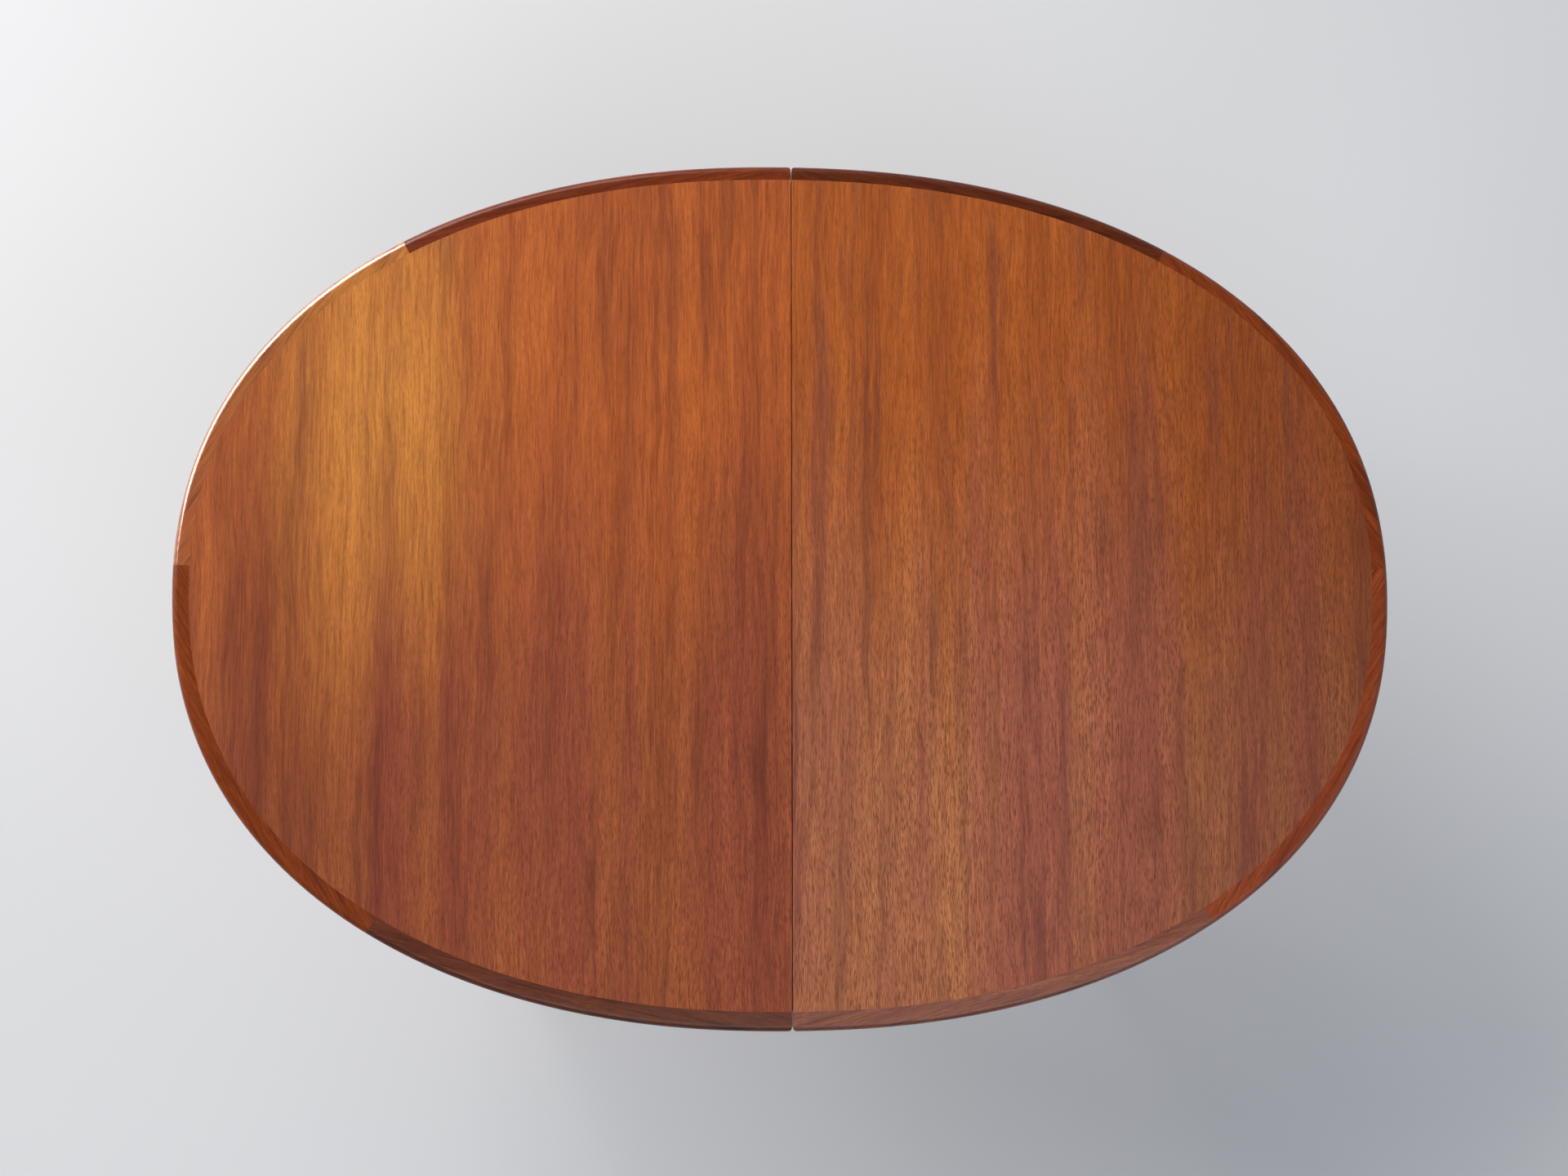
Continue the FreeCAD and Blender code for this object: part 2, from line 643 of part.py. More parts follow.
def right_cross_rail():
    """Rail across the well beside the leaf, bored for the pivot bush and the rest pin."""
    rail = block(
        (CROSS_INSIDE, CROSS_INSIDE + CROSS_THICKNESS),
        (-GUIDE_INSIDE, GUIDE_INSIDE),
        (CROSS_BOTTOM, RAIL_TOP),
    )
    return rail.cut([pivot_bush_blank(), rest_pin()])


def pivot_bush_blank():
    return rod(BUSH_RADIUS, V(CROSS_INSIDE, PIVOT_Y, PIVOT_HEIGHT), X_AXIS, CROSS_THICKNESS)


def pivot_bush():
    bore = rod(
        PIVOT_PIN_RADIUS + PIVOT_CLEARANCE, V(CROSS_INSIDE, PIVOT_Y, PIVOT_HEIGHT), X_AXIS, CROSS_THICKNESS
    )
    return pivot_bush_blank().cut(bore)


def rest_pin():
    """Pin standing out of the cross rail under the leaf's lug."""
    height = PIVOT_LEAF_UNDER + FACE_GAP / 2 - REST_CLEARANCE - REST_PIN_RADIUS
    start = CROSS_INSIDE - LUG_REACH
    y = REST_PLACE_SHARE * PACK_HALF
    return rod(REST_PIN_RADIUS, V(start, y, height), X_AXIS, LUG_REACH + REST_PIN_DEPTH)


def corner_block():
    """Glue block in the back right corner of the frame."""
    low = RAIL_BOTTOM + BLOCK_LIFT
    corner = V(END_INSIDE, SIDE_INSIDE, low)
    points = [corner, corner - X_AXIS * BLOCK_LEG, corner - Y_AXIS * BLOCK_LEG, corner]
    return Part.Face(Part.makePolygon(points)).extrude(V(0, 0, BLOCK_HEIGHT)).cut(leg_socket())


def corner_bolt(radius):
    """Bolt from the corner block into the leg, or its hole, and its hexagon nut."""
    into_leg = V(1, 1, 0).normalize()
    height = RAIL_BOTTOM + BLOCK_LIFT + BLOCK_HEIGHT / 2
    long_face = V(END_INSIDE - BLOCK_LEG / 2, SIDE_INSIDE - BLOCK_LEG / 2, height)
    leg_centre = V(LEG_X, LEG_Y, height)
    seat = leg_centre + into_leg * (long_face - leg_centre).dot(into_leg)
    depth = leg_centre.distanceToPoint(seat) - LEG_TOP_RADIUS + BOLT_GRIP
    bolt = rod(radius, seat - into_leg * BOLT_TAIL, into_leg, BOLT_TAIL + depth)
    corners = []
    across = V(-1, 1, 0).normalize()
    for i in range(7):
        angle = math.radians(60 * i)
        corners.append(seat + (across * math.cos(angle) + Z_AXIS * math.sin(angle)) * NUT_RADIUS)
    nut = Part.Face(Part.makePolygon(corners)).extrude(-into_leg * NUT_HEIGHT)
    return bolt, nut.cut(bolt)


def foot_glide():
    """Glide under the back right leg: a domed disc with a nail."""
    foot = V(LEG_X, LEG_Y, 0)
    disc = rod(GLIDE_RADIUS, foot, Z_AXIS, GLIDE_HEIGHT)
    disc = disc.makeFillet(GLIDE_HEIGHT / 3, [e for e in disc.Edges if e.BoundBox.ZMax < GLIDE_HEIGHT / 2])
    nail = rod(GLIDE_PIN_RADIUS, foot, Z_AXIS, GLIDE_HEIGHT + GLIDE_PIN_LENGTH)
    return disc.fuse(nail).removeSplitter()


def four_corners(shape):
    """A back right shape repeated in the other corners: back right, back left, front left, front right."""
    back = [shape, mirrored(shape, X_AXIS)]
    return back + [mirrored(s, Y_AXIS) for s in reversed(back)]


def build_frame():
    side = back_side_rail()
    end = right_end_rail()
    bolt, nut = corner_bolt(BOLT_RADIUS)
    bolt_hole, _ = corner_bolt(BOLT_RADIUS + BOLT_CLEARANCE)
    glide = foot_glide()
    leg = leg_profile()
    leg.translate(V(LEG_X, LEG_Y, 0))
    leg = leg.cut([side, end, bolt, glide])
    names = ("leg_back_right", "leg_back_left", "leg_front_left", "leg_front_right")
    for name, solid in zip(names, four_corners(leg)):
        save(name, solid)
    save("foot_glides", *four_corners(glide))
    save("corner_blocks", *four_corners(corner_block().cut(bolt_hole)))
    save("leg_bolts", *four_corners(bolt))
    save("leg_nuts", *four_corners(nut))
    save("back_side_rail", side)
    save("front_side_rail", mirrored(side, Y_AXIS))
    save("right_end_rail", end)
    save("left_end_rail", mirrored(end, X_AXIS))
    inner = back_inner_guide()
    save("back_inner_guide", inner)
    save("front_inner_guide", mirrored(inner, Y_AXIS))
    outer = back_outer_guide()
    save("back_outer_guide", outer)
    save("front_outer_guide", mirrored(outer, Y_AXIS))
    cross = right_cross_rail()
    save("right_cross_rail", cross)
    save("left_cross_rail", mirrored(cross, X_AXIS))
    bush = pivot_bush()
    save("pivot_bushes", bush, mirrored(bush, X_AXIS))
    pin = rest_pin()
    save("leaf_rest_pins", pin, mirrored(pin, X_AXIS))


os.makedirs("parts", exist_ok=True)
build_tops()
build_leaf()
build_frame()
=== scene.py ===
"""Looks for the oval teak table with a butterfly leaf: finishes, studio floor, light and camera.

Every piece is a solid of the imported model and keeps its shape. This script only gives each a finish.
Metres, same frame as the model. Patterns read Object coordinates, so they stay on the wood when it moves.
"""

import json
import math

import bpy
from mathutils import Matrix, Vector


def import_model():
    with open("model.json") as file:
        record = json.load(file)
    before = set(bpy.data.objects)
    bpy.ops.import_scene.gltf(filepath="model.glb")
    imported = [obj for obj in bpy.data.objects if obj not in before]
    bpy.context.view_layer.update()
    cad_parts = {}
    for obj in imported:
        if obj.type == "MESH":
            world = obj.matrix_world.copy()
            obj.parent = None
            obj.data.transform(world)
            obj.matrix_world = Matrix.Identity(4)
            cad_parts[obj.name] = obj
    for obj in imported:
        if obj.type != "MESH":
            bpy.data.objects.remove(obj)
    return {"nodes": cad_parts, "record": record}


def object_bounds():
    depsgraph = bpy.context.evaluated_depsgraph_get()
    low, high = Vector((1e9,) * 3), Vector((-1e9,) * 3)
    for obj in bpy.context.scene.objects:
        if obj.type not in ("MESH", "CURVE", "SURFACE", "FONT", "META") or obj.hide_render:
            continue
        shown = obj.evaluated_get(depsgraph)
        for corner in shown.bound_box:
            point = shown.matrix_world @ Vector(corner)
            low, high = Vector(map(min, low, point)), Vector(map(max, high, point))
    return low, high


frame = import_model()
cad_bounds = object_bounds()

LEFT_END = cad_bounds[0][0]
RIGHT_END = cad_bounds[1][0]
TOP_FACE = cad_bounds[1][2]
TOP_MIDDLE = (0.0, 0.0, TOP_FACE)


# Small helpers

# A Mix node has sockets of the same name for each kind of value. These are the ones for colours
MIX_A = 6
MIX_B = 7
MIX_RESULT = 2


def linear(code):
    """sRGB hex colour to the linear RGBA that shaders take."""
    parts = [int(code[i:i + 2], 16) / 255 for i in (1, 3, 5)]
    return tuple(p / 12.92 if p <= 0.04045 else ((p + 0.055) / 1.055) ** 2.4 for p in parts) + (1.0,)


def part_of(code, shares):
    """A colour with its red, green and blue taken down or up by shares."""
    return tuple(share * part for share, part in zip(shares, linear(code))) + (1.0,)


def per_mm(*sizes):
    """Pattern repeats per metre for sizes in millimetres."""
    return tuple(1000 / size for size in sizes)


def add(tree, kind, links=None, values=None, stops=None, **settings):
    """Adds one node. links are {input: socket}, values {input: number or colour}, stops {place: colour}."""
    made = tree.nodes.new(kind)
    for name, value in settings.items():
        setattr(made, name, value)
    for name, value in (values or {}).items():
        made.inputs[name].default_value = value
    for name, socket in (links or {}).items():
        tree.links.new(socket, made.inputs[name])
    if stops:
        elements = made.color_ramp.elements
        while len(elements) < len(stops):
            elements.new(0.5)
        for element, (place, colour) in zip(elements, sorted(stops.items())):
            element.position = place
            element.color = colour
    return made


def finish(name):
    """New material: its tree, its shader and the Object coordinates that its patterns read."""
    material = bpy.data.materials.new(name)
    material.use_nodes = True
    tree = material.node_tree
    place = add(tree, "ShaderNodeTexCoord").outputs["Object"]
    return material, tree, tree.nodes["Principled BSDF"], place


# Tones of the woods

TEAK_RED = "#823f29"
TEAK_TAWNY = "#8c4a28"
TEAK_PINK = "#945440"
TEAK_DULL = "#9e6240"
TEAK_BROWN = "#994e1c"
TEAK_DEEP = "#5f280f"
TEAK_WARM = "#a05121"
TEAK_GOLD = "#b87732"
FRAME_TEAK = "#91481f"
BEECH = "#cfa679"

# Red, green and blue as shares of a wood's middle tone, from its dark figure (0) to its light figure (1)
SHADE_SHARES = {
    0.10: (0.58, 0.50, 0.58),
    0.36: (0.81, 0.77, 0.80),
    0.55: (1.0, 1.0, 1.0),
    0.90: (1.32, 1.42, 1.30),
}
STREAK_SHARES = (0.40, 0.36, 0.42)
PORE_SHARES = (0.34, 0.27, 0.14)


def shades(code):
    """Stops from the dark to the light figure of a wood. The dark grain is the redder."""
    return {place: part_of(code, shares) for place, shares in SHADE_SHARES.items()}


# Woods

# Real pores are about 0.3 mm wide. They are drawn coarser so that they show
PORE = 0.6

# Weight of the stripes and of the thin lines beside the bands, and how far the grain wavers in bands
STRIPE_SHARE = 0.6
LINE_SHARE = 1.3
WAVER_SHARE = 0.4

# Growth lines in a full swing of the streaks, and how much of a step each takes
RING_STEPS = 9.0
RING_SHARE = 0.16


def grain(tree, place, turn, shift, band):
    """Noise for each layer of the figure. The grain runs along Y before turn."""
    # Spacing across and along the grain in millimetres, and detail
    layers = {
        "drift": (band * 3, band * 5, 2.0),
        "bands": (band, band * 25, 2.0),
        "stripes": (band / 5, band * 6, 2.0),
        "streaks": (band / 2, band * 9, 3.0),
        "lines": (2.0, 50, 3.0),
        "pores": (PORE, PORE * 15, 0.0),
        "patches": (band * 0.7, band * 6, 2.0),
    }
    lying = add(tree, "ShaderNodeMapping", {"Vector": place},
                {"Rotation": turn, "Location": shift}).outputs["Vector"]
    noise = {}
    for layer, (across, with_grain, detail) in layers.items():
        scaled = add(tree, "ShaderNodeMapping", {"Vector": lying},
                     {"Scale": per_mm(across, with_grain, across * 3)})
        noise[layer] = add(tree, "ShaderNodeTexNoise", {"Vector": scaled.outputs["Vector"]},
                           {"Scale": 1.0, "Detail": detail}).outputs["Fac"]
        if layer == "drift":
            # The grain of the layers that follow wavers by a few millimetres
            bend = add(tree, "ShaderNodeMath", {0: noise[layer]}, {1: 0.5}, operation="SUBTRACT")
            lying = add(tree, "ShaderNodeVectorMath", {0: bend.outputs["Value"], 2: lying},
                        {1: (WAVER_SHARE * band / 1000, 0, 0)}, operation="MULTIPLY_ADD").outputs["Vector"]
    return noise


def growth_lines(tree, noise, depth):
    """A sharp dark edge wherever the streaks pass another step, broken along its length."""
    steps = add(tree, "ShaderNodeMath", {0: noise["streaks"]}, {1: RING_STEPS}, operation="MULTIPLY")
    saw = add(tree, "ShaderNodeMath", {0: steps.outputs["Value"]}, operation="FRACT")
    ring = add(tree, "ShaderNodeMapRange", {"Value": saw.outputs["Value"]},
               {"From Min": 0.0, "From Max": RING_SHARE, "To Min": depth, "To Max": 0.0})
    fading = add(tree, "ShaderNodeMapRange", {"Value": noise["patches"]}, {"From Min": 0.42, "From Max": 0.6})
    return add(tree, "ShaderNodeMath", {0: ring.outputs["Result"], 1: fading.outputs["Result"]},
               operation="MULTIPLY").outputs["Value"]


def dashes(tree, noise, broad, depth):
    """Short dark pores, which crowd in the light early wood."""
    density = add(tree, "ShaderNodeMapRange", {"Value": broad},
                  {"From Min": 0.65, "From Max": 0.95, "To Min": 0.58, "To Max": 0.49})
    dash = add(tree, "ShaderNodeMath", {0: noise["pores"], 1: density.outputs["Result"]},
               operation="SUBTRACT")
    return add(tree, "ShaderNodeMapRange", {"Value": dash.outputs["Value"]},
               {"From Min": 0.0, "From Max": 0.12, "To Min": 0.0, "To Max": depth}).outputs["Result"]


def wood(name, tone, turn=(0, 0, 0), shift=(0, 0, 0), band=42, rough=0.4, polish=0.0, polish_ior=1.5,
         tones_with_painted_light=None, pore_depth=0.4, ring_depth=0.45):
    """Straight-grained hardwood, sawn or sliced: bands of tone, thin growth lines and short dark pores.

    band is the spacing of the bands across the grain in millimetres. The argument with the second and the
    warm tone adds, when given, bands of the second tone and the top's painted light, painted sheen and
    painted shade.
    """
    material, tree, shader, place = finish(name)
    noise = grain(tree, place, turn, shift, band)
    broad = add(tree, "ShaderNodeMath", {0: noise["stripes"], 2: noise["bands"]}, {1: STRIPE_SHARE},
                operation="MULTIPLY_ADD").outputs["Value"]
    mixed = add(tree, "ShaderNodeMath", {0: noise["lines"], 2: broad}, {1: LINE_SHARE},
                operation="MULTIPLY_ADD")
    figure = add(tree, "ShaderNodeMapRange", {"Value": mixed.outputs["Value"]},
                 {"From Min": 0.82, "From Max": 2.08}).outputs["Result"]
    colour = add(tree, "ShaderNodeValToRGB", {"Fac": figure}, stops=shades(tone)).outputs["Color"]
    pores = dashes(tree, noise, broad, pore_depth)
    if tones_with_painted_light:
        colour, openness = tone_and_painted_light(tree, place, figure, colour, tones_with_painted_light)
        pores = add(tree, "ShaderNodeMath", {0: pores, 1: openness}, operation="MULTIPLY").outputs["Value"]
    streak = add(tree, "ShaderNodeMapRange", {"Value": noise["streaks"]},
                 {"From Min": 0.45, "From Max": 0.3, "To Min": 0.0, "To Max": ring_depth})
    streaky = add(tree, "ShaderNodeMix", {"Factor": streak.outputs["Result"], MIX_A: colour},
                  {MIX_B: part_of(tone, STREAK_SHARES)}, data_type="RGBA").outputs[MIX_RESULT]
    rings = growth_lines(tree, noise, ring_depth)
    shade = add(tree, "ShaderNodeMath", {0: pores, 1: rings}, operation="MAXIMUM")
    dark = add(tree, "ShaderNodeMix", {"Factor": shade.outputs["Value"], MIX_A: streaky},
               {MIX_B: part_of(tone, PORE_SHARES)}, data_type="RGBA").outputs[MIX_RESULT]
    tree.links.new(dark, shader.inputs["Base Color"])
    level = add(tree, "ShaderNodeMapRange", {"Value": noise["lines"]},
                {"To Min": rough - 0.06, "To Max": rough + 0.08})
    tree.links.new(level.outputs["Result"], shader.inputs["Roughness"])
    dent = add(tree, "ShaderNodeMath", {0: noise["lines"], 1: pores}, operation="SUBTRACT")
    bump = add(tree, "ShaderNodeBump", {"Height": dent.outputs["Value"]},
               {"Strength": 0.1, "Distance": 0.0003})
    tree.links.new(bump.outputs["Normal"], shader.inputs["Normal"])
    shader.inputs["IOR"].default_value = 1.5
    shader.inputs["Specular IOR Level"].default_value = 0.22
    shader.inputs["Coat Weight"].default_value = polish
    shader.inputs["Coat Roughness"].default_value = 0.1
    shader.inputs["Coat IOR"].default_value = polish_ior
    return material


# Bands of a second tone on the top, with painted light, painted sheen and painted shade

# Share of the deep tone from the left end of the top (0) to its right end (1): painted shade towards the
# right end, and a narrow darker band near the left end
DEEP_SHARES = {0.0: 0.0, 0.03: 0.05, 0.075: 0.4, 0.13: 0.1, 0.25: 0.0, 0.72: 0.0, 1.0: 0.62}

# Middle of the gold patch, which is partly a gold tone and partly a painted sheen of the window,
# and its reach in millimetres across the grain, along it and into the thickness
GOLD_MIDDLE = (-0.5, 0.24, TOP_FACE)
GOLD_REACH = (182, 455, 16.7)

# How far the cloudy noise moves the patch's rim and the warm back's front edge
RIM_SHARE = 0.8
EDGE_SHARE = 0.5

# Metres to the right that open the pores as much as one metre to the front
FRONT_SHARE = 1.4


def gold_tone_and_sheen_patch(tree, place, cloud):
    """Share of the gold tone and painted sheen: most at the patch's middle, with a ragged rim."""
    spot = add(tree, "ShaderNodeVectorMath", {0: place}, {1: GOLD_MIDDLE}, operation="SUBTRACT")
    round_spot = add(tree, "ShaderNodeVectorMath", {0: spot.outputs["Vector"]}, {1: per_mm(*GOLD_REACH)},
                     operation="MULTIPLY")
    away = add(tree, "ShaderNodeVectorMath", {0: round_spot.outputs["Vector"]}, operation="LENGTH")
    ragged = add(tree, "ShaderNodeMath", {0: cloud, 2: away.outputs["Value"]}, {1: -RIM_SHARE},
                 operation="MULTIPLY_ADD")
    return add(tree, "ShaderNodeMapRange", {"Value": ragged.outputs["Value"]},
               {"From Min": 0.66, "From Max": -0.5, "To Min": 0.0, "To Max": 0.9},
               interpolation_type="SMOOTHSTEP").outputs["Result"]


def tone_and_painted_light(tree, place, figure, colour, tones):
    """Bands of a second tone, with painted light and shade: a warmer back, a gold patch with sheen, deep
    ends.

    Gives the colour and how open the pores are: half filled at the back left, open at the front right.
    """
    second, warm_tone = tones
    parts = add(tree, "ShaderNodeSeparateXYZ", {"Vector": place})
    scaled = add(tree, "ShaderNodeMapping", {"Vector": place}, {"Scale": per_mm(60, 1500, 1500)})
    cloud = add(tree, "ShaderNodeTexNoise", {"Vector": scaled.outputs["Vector"]},
                {"Scale": 1.0, "Detail": 3.0}).outputs["Fac"]
    change = add(tree, "ShaderNodeMapRange", {"Value": cloud}, {"From Min": 0.36, "From Max": 0.64},
                 interpolation_type="SMOOTHSTEP").outputs["Result"]
    # Painted light: the back, nearer the window, is painted warmer and lighter than the front
    back = add(tree, "ShaderNodeMath", {0: cloud, 2: parts.outputs["Y"]}, {1: EDGE_SHARE},
               operation="MULTIPLY_ADD")
    warm = add(tree, "ShaderNodeMapRange", {"Value": back.outputs["Value"]},
               {"From Min": 0.0, "From Max": 0.6}, interpolation_type="SMOOTHSTEP").outputs["Result"]
    # Painted shade darkens the right end, away from the window; a narrow band near the left end is darker too
    across = add(tree, "ShaderNodeMapRange", {"Value": parts.outputs["X"]},
                 {"From Min": LEFT_END, "From Max": RIGHT_END})
    deep = add(tree, "ShaderNodeValToRGB", {"Fac": across.outputs["Result"]},
               stops={at: (share, share, share, 1.0) for at, share in DEEP_SHARES.items()}).outputs["Color"]
    # Painted sheen of the window at the back left, mixed with a gold tone
    gold = gold_tone_and_sheen_patch(tree, place, cloud)
    for share, tone in ((change, second), (warm, warm_tone), (deep, TEAK_DEEP), (gold, TEAK_GOLD)):
        over = add(tree, "ShaderNodeValToRGB", {"Fac": figure}, stops=shades(tone))
        colour = add(tree, "ShaderNodeMix", {"Factor": share, MIX_A: colour, MIX_B: over.outputs["Color"]},
                     data_type="RGBA").outputs[MIX_RESULT]
    front_right = add(tree, "ShaderNodeMath", {0: parts.outputs["Y"], 2: parts.outputs["X"]},
                      {1: -FRONT_SHARE}, operation="MULTIPLY_ADD")
    openness = add(tree, "ShaderNodeMapRange", {"Value": front_right.outputs["Value"]},
                   {"From Min": -0.5, "From Max": 0.5, "To Min": 0.45, "To Max": 1.0})
    return colour, openness.outputs["Result"]


# The table's own woods

def along(angle):
    """Turn of the pattern that lays the grain at an angle in plan, in degrees from +X."""
    return (0, 0, math.radians(90 - angle))


UPRIGHT = (math.radians(90), 0, 0)
ALONG_X = along(0)

# Sliced veneer under oil: a satin face with open pores. The two halves come from different leaves of veneer
left_veneer = wood("oiled_sliced_teak_left_half", TEAK_RED, shift=(0.31, 0.12, 0),
                   tones_with_painted_light=(TEAK_TAWNY, TEAK_WARM), rough=0.46, pore_depth=0.6, ring_depth=0.32)
# The right half's dull pink tones at its front are partly its own colour and partly a painted sheen
right_veneer = wood("oiled_sliced_teak_right_half", TEAK_PINK, shift=(2.43, 0.57, 0),
                    tones_with_painted_light=(TEAK_DULL, TEAK_BROWN), rough=0.46, pore_depth=0.72, ring_depth=0.5)
leaf_veneer = wood("oiled_sliced_teak_leaf", TEAK_WARM, shift=(5.17, 1.31, 0))

# Turned and planed teak under oil: an even sheen, and a narrower figure than the veneer's
leg_teak = wood("oiled_turned_teak_legs", FRAME_TEAK, UPRIGHT, band=30)
side_teak = wood("oiled_planed_teak_side_rails", FRAME_TEAK, ALONG_X, band=30)
end_teak = wood("oiled_planed_teak_end_rails", FRAME_TEAK, shift=(3.1, 0, 0), band=30)

# Bare beech from the plane: pale and matt, with hardly a pore to see
BARE = {"rough": 0.55, "pore_depth": 0.16, "ring_depth": 0.2}
beech_long = wood("planed_beech_runners_and_guides", BEECH, ALONG_X, **BARE)
beech_cross = wood("planed_beech_cross_rails_and_blocks", BEECH, **BARE)
beech_upright = wood("turned_beech_pegs", BEECH, UPRIGHT, band=20, **BARE)

# Each length of lipping is sawn from its own straight board: its tone, and the angle of its chord
LIPPING = {
    "right_lipping_a": ("#55230c", -13), "right_lipping_b": ("#763311", -52),
    "right_lipping_c": ("#843b1b", 58), "right_lipping_d": ("#7d4a38", 15),
    "left_lipping_a": ("#5c2e1b", -13), "left_lipping_b": ("#75320f", -60),
    "left_lipping_c": ("#9c562c", 56), "left_lipping_d": ("#6c2c0f", 14),
    "pivoting_leaf_lipping": ("#6c2c0f", 0), "folding_leaf_lipping": ("#6c2c0f", 0),
}

# The board nearest the window takes the top's painted light, painted sheen and painted shade.
# It is polished so that its rounded edge shows a white line of light
WINDOW_BOARD = "left_lipping_c"

# Metres between places in the log, across and along its grain, and the log's length
ACROSS_LOG = 0.37
ALONG_LOG = 0.11
LOG_LENGTH = 5


def lipping_teak(name):
    """Solid teak rubbed to a thin polish: dark and close-grained. Its name gives its place in the log."""
    tone, angle = LIPPING[name]
    where = (ACROSS_LOG * len(name), ALONG_LOG * sum(map(ord, name)) % LOG_LENGTH, 0)
    polish = {"polish": 0.3}
    if name == WINDOW_BOARD:
        polish = {"polish": 0.9, "polish_ior": 1.9, "tones_with_painted_light": (tone, tone)}
    return wood("polished_teak_" + name, tone, along(angle), where, band=12, rough=0.3, ring_depth=0.75,
                **polish)


# Metals and plastic

STAIN = "#6d5a44"
MARK_SPREAD = 0.1


def metal(name, code, rough, mark_size):
    """Satin metal: fine marks that change the roughness and raise a faint bump, and dull brown stains."""
    material, tree, shader, place = finish(name)
    scaled = add(tree, "ShaderNodeMapping", {"Vector": place}, {"Scale": per_mm(*mark_size)})
    marks = add(tree, "ShaderNodeTexNoise", {"Vector": scaled.outputs["Vector"]},
                {"Scale": 1.0, "Detail": 4.0, "Roughness": 0.6}).outputs["Fac"]
    level = add(tree, "ShaderNodeMapRange", {"Value": marks},
                {"To Min": rough - MARK_SPREAD, "To Max": rough + MARK_SPREAD})
    tree.links.new(level.outputs["Result"], shader.inputs["Roughness"])
    stain = add(tree, "ShaderNodeTexNoise", {"Vector": place}, {"Scale": per_mm(30)[0], "Detail": 2.0})
    dull = add(tree, "ShaderNodeMapRange", {"Value": stain.outputs["Fac"]},
               {"From Min": 0.4, "From Max": 0.75, "To Min": 0.0, "To Max": 0.35})
    shade = add(tree, "ShaderNodeMix", {"Factor": dull.outputs["Result"]},
                {MIX_A: linear(code), MIX_B: linear(STAIN)}, data_type="RGBA").outputs[MIX_RESULT]
    tree.links.new(shade, shader.inputs["Base Color"])
    bump = add(tree, "ShaderNodeBump", {"Height": marks}, {"Strength": 0.15, "Distance": 0.0002})
    tree.links.new(bump.outputs["Normal"], shader.inputs["Normal"])
    shader.inputs["Metallic"].default_value = 1.0
    return material


def moulded(name, codes):
    """Plastic from a mould: matt and faintly cloudy, with a fine grit that is drawn coarser than real."""
    material, tree, shader, place = finish(name)
    cloud = add(tree, "ShaderNodeTexNoise", {"Vector": place}, {"Scale": per_mm(6)[0], "Detail": 3.0})
    tint = add(tree, "ShaderNodeValToRGB", {"Fac": cloud.outputs["Fac"]}, stops=codes)
    tree.links.new(tint.outputs["Color"], shader.inputs["Base Color"])
    grit = add(tree, "ShaderNodeTexNoise", {"Vector": place}, {"Scale": per_mm(0.8)[0]})
    bump = add(tree, "ShaderNodeBump", {"Height": grit.outputs["Fac"]}, {"Strength": 0.1, "Distance": 0.0002})
    tree.links.new(bump.outputs["Normal"], shader.inputs["Normal"])
    shader.inputs["Roughness"].default_value = 0.6
    shader.inputs["IOR"].default_value = 1.53
    return material


# Barrel-plated steel has an even grain and a soft grey gleam. Brushed brass draws its gleam out into lines.
# The real marks are about 0.1 mm wide. They are drawn coarser so that they show
zinc_steel = metal("zinc_plated_steel", "#b4b7bb", 0.34, (0.6, 0.6, 0.6))
satin_brass = metal("satin_brass", "#c9a254", 0.32, (14, 0.5, 0.5))

# Dark nylon straight from the mould has a dull, even face
nylon = moulded("moulded_nylon", {0.35: linear("#2b2622"), 0.65: linear("#3d3732")})


# Which piece has which finish

FINISHES = {
    "left_top_panel": left_veneer, "right_top_panel": right_veneer,
    "pivoting_leaf_panel": leaf_veneer, "folding_leaf_panel": leaf_veneer,
    "leg_back_right": leg_teak, "leg_back_left": leg_teak,
    "leg_front_left": leg_teak, "leg_front_right": leg_teak,
    "back_side_rail": side_teak, "front_side_rail": side_teak,
    "left_end_rail": end_teak, "right_end_rail": end_teak,
    "left_cross_rail": beech_cross, "right_cross_rail": beech_cross, "corner_blocks": beech_cross,
    "left_stop_pegs": beech_upright, "right_stop_pegs": beech_upright,
    "foot_glides": nylon,
}
BY_SLOT = {"runner_wood": beech_long, "steel": zinc_steel, "brass": satin_brass}


def dress():
    """Puts each node's finish in its material slots."""
    slots = {entry["node"]: entry["material_slot"] for entry in frame["record"]["subparts"]}
    for name, solid in frame["nodes"].items():
        if name in LIPPING:
            material = lipping_teak(name)
        else:
            material = FINISHES.get(name) or BY_SLOT[slots[name]]
        if not solid.data.materials:
            solid.data.materials.append(material)
        for i in range(len(solid.data.materials)):
            solid.data.materials[i] = material


dress()


# Studio

FLOOR_SIZE = 16
PAPER = {0.3: linear("#c2c5c9"), 0.7: linear("#c6c9cd")}


def floor():
    """Seamless pale grey paper, matt and faintly cloudy, much larger than the view."""
    bpy.ops.mesh.primitive_plane_add(size=FLOOR_SIZE, location=(0, 0, 0))
    sheet = bpy.context.object
    sheet.name = "studio_floor"
    material, tree, shader, place = finish("grey_paper")
    cloud = add(tree, "ShaderNodeTexNoise", {"Vector": place}, {"Scale": per_mm(900)[0], "Detail": 1.0})
    tint = add(tree, "ShaderNodeValToRGB", {"Fac": cloud.outputs["Fac"]}, stops=PAPER)
    tree.links.new(tint.outputs["Color"], shader.inputs["Base Color"])
    shader.inputs["Roughness"].default_value = 0.9
    sheet.data.materials.append(material)


DAYLIGHT = "#fffaf4"
COOL_FILL = "#eef2fa"

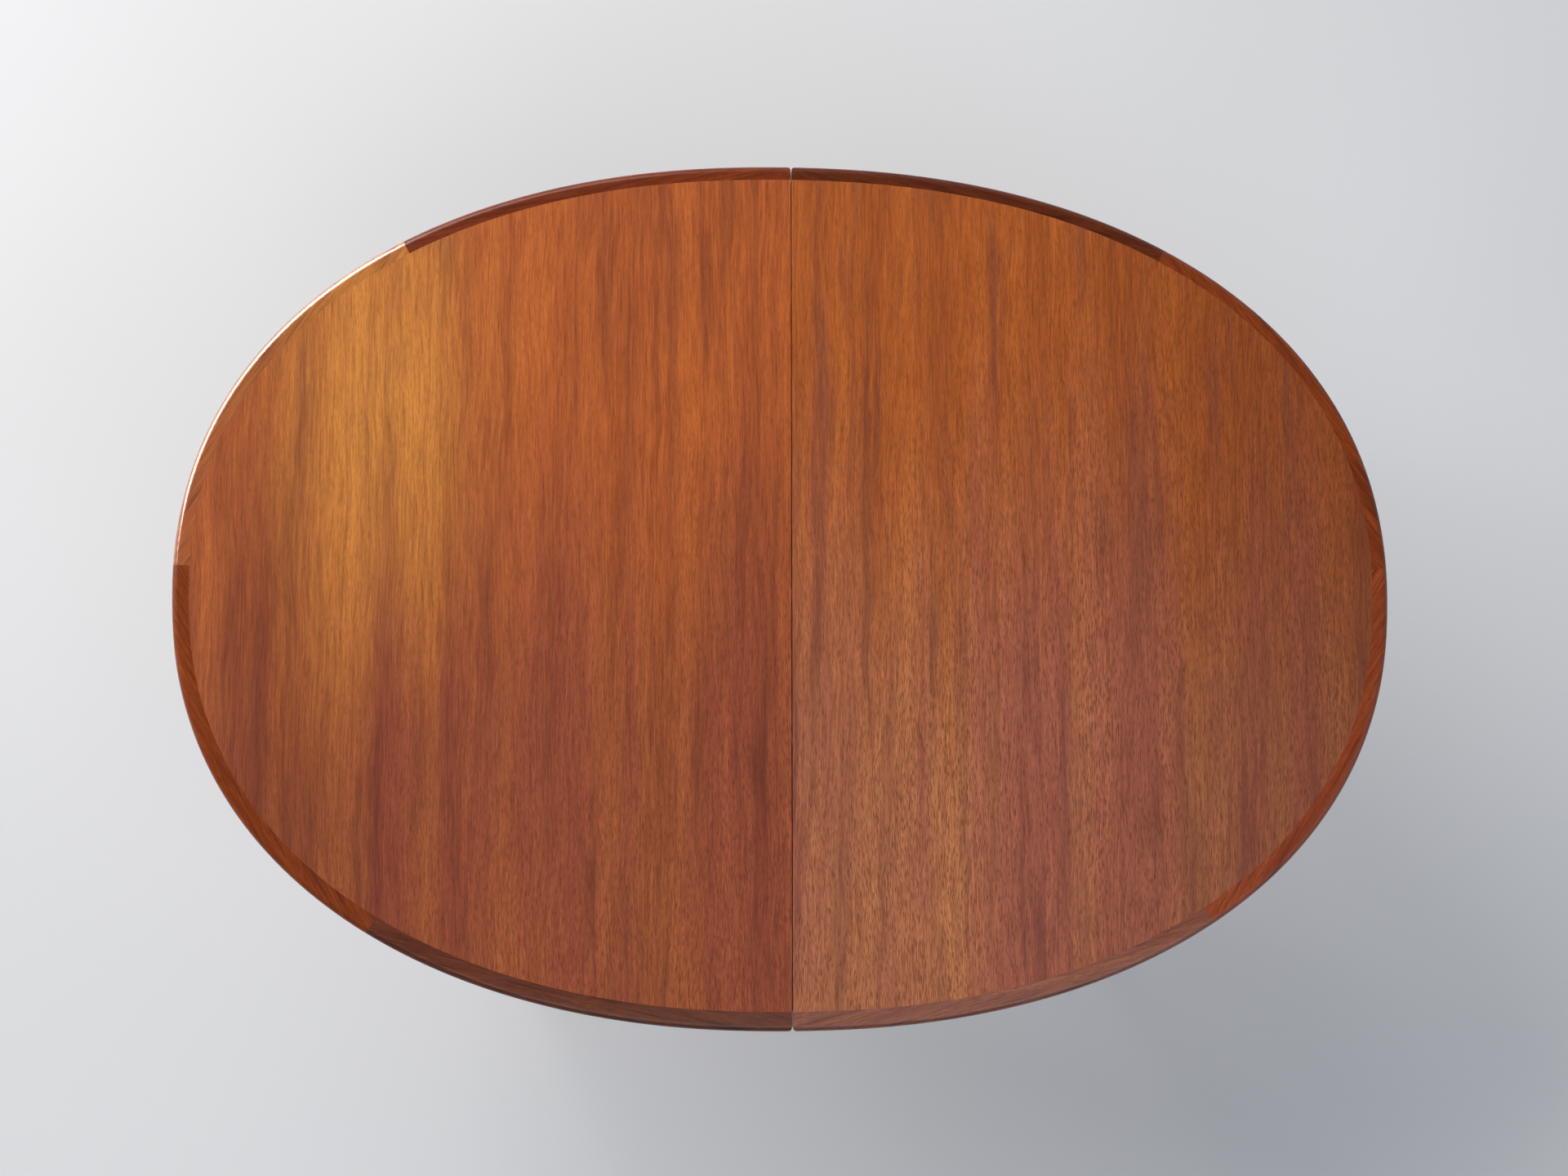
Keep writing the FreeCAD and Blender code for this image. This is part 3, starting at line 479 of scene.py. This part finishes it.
# Each lamp's place, what it points at, width and height, watts and colour
LAMPS = {
    "window": ((-5.1, 3.86, 3.75), TOP_MIDDLE, (5.7, 5.7), 830, DAYLIGHT),
    "skylight": ((-2.2, 4.3, 4.4), TOP_MIDDLE, (4.0, 3.0), 120, DAYLIGHT),
    "ceiling_fill": ((0.6, -3.0, 5.2), (0.3, -0.4, 0.5), (4.6, 4.2), 88, COOL_FILL),
    "side_fill": ((3.6, -2.8, 3.4), (0.9, -1.0, 0.0), (4.5, 4.5), 58, COOL_FILL),
}


def lamp(name, place, aim, size, power, code):
    """Rectangular soft lamp."""
    data = bpy.data.lights.new(name, "AREA")
    data.shape = "RECTANGLE"
    data.size, data.size_y = size
    data.energy = power
    data.color = linear(code)[:3]
    made = bpy.data.objects.new(name, data)
    bpy.context.scene.collection.objects.link(made)
    turn = (Vector(aim) - Vector(place)).to_track_quat("-Z", "Y")
    made.matrix_world = Matrix.Translation(place) @ turn.to_matrix().to_4x4()


# Place and aim in metres, roll in radians, lens and sensor in millimetres
CAMERA_PLACE = Vector((-0.1714, -0.2089, 3.2098))
CAMERA_AIM = Vector((-0.0091, 0.0045, 0.722))
CAMERA_ROLL = -0.0015
CAMERA_LENS = 46.613
CAMERA_SENSOR = 36.0


def camera():
    """Almost straight above, a little to the front and left, fitted to the outline in the photograph."""
    data = bpy.data.cameras.new("camera")
    data.sensor_fit = "HORIZONTAL"
    data.sensor_width = CAMERA_SENSOR
    data.lens = CAMERA_LENS
    data.clip_end = 50.0
    made = bpy.data.objects.new("camera", data)
    bpy.context.scene.collection.objects.link(made)
    ahead = (CAMERA_AIM - CAMERA_PLACE).normalized()
    level = ahead.cross(Vector((0, 1, 0))).normalized()
    upright = level.cross(ahead)
    right = level * math.cos(CAMERA_ROLL) + upright * math.sin(CAMERA_ROLL)
    up = upright * math.cos(CAMERA_ROLL) - level * math.sin(CAMERA_ROLL)
    turn = Matrix((right, up, -ahead)).transposed().to_4x4()
    made.matrix_world = Matrix.Translation(CAMERA_PLACE) @ turn
    bpy.context.scene.camera = made


WALLS = "#e9edf2"
WALL_LIGHT = 0.62
CEILING_LIGHT = 0.1
CEILING_SLOPE = 0.5


def world():
    """Pale walls under a dark ceiling that slopes down to the front, so that flat wood reflects little."""
    studio = bpy.data.worlds.new("studio")
    studio.use_nodes = True
    tree = studio.node_tree
    place = add(tree, "ShaderNodeTexCoord").outputs["Generated"]
    parts = add(tree, "ShaderNodeSeparateXYZ", {"Vector": place})
    high = add(tree, "ShaderNodeMath", {0: parts.outputs["Y"], 2: parts.outputs["Z"]}, {1: -CEILING_SLOPE},
               operation="MULTIPLY_ADD")
    level = add(tree, "ShaderNodeMapRange", {"Value": high.outputs["Value"]},
                {"From Min": 0.2, "From Max": 0.85, "To Min": WALL_LIGHT, "To Max": CEILING_LIGHT},
                interpolation_type="SMOOTHSTEP")
    sky = tree.nodes["Background"]
    sky.inputs["Color"].default_value = linear(WALLS)
    tree.links.new(level.outputs["Result"], sky.inputs["Strength"])
    bpy.context.scene.world = studio


floor()
for lamp_name, lamp_settings in LAMPS.items():
    lamp(lamp_name, *lamp_settings)
camera()
world()
bpy.context.scene.view_settings.view_transform = "Standard"
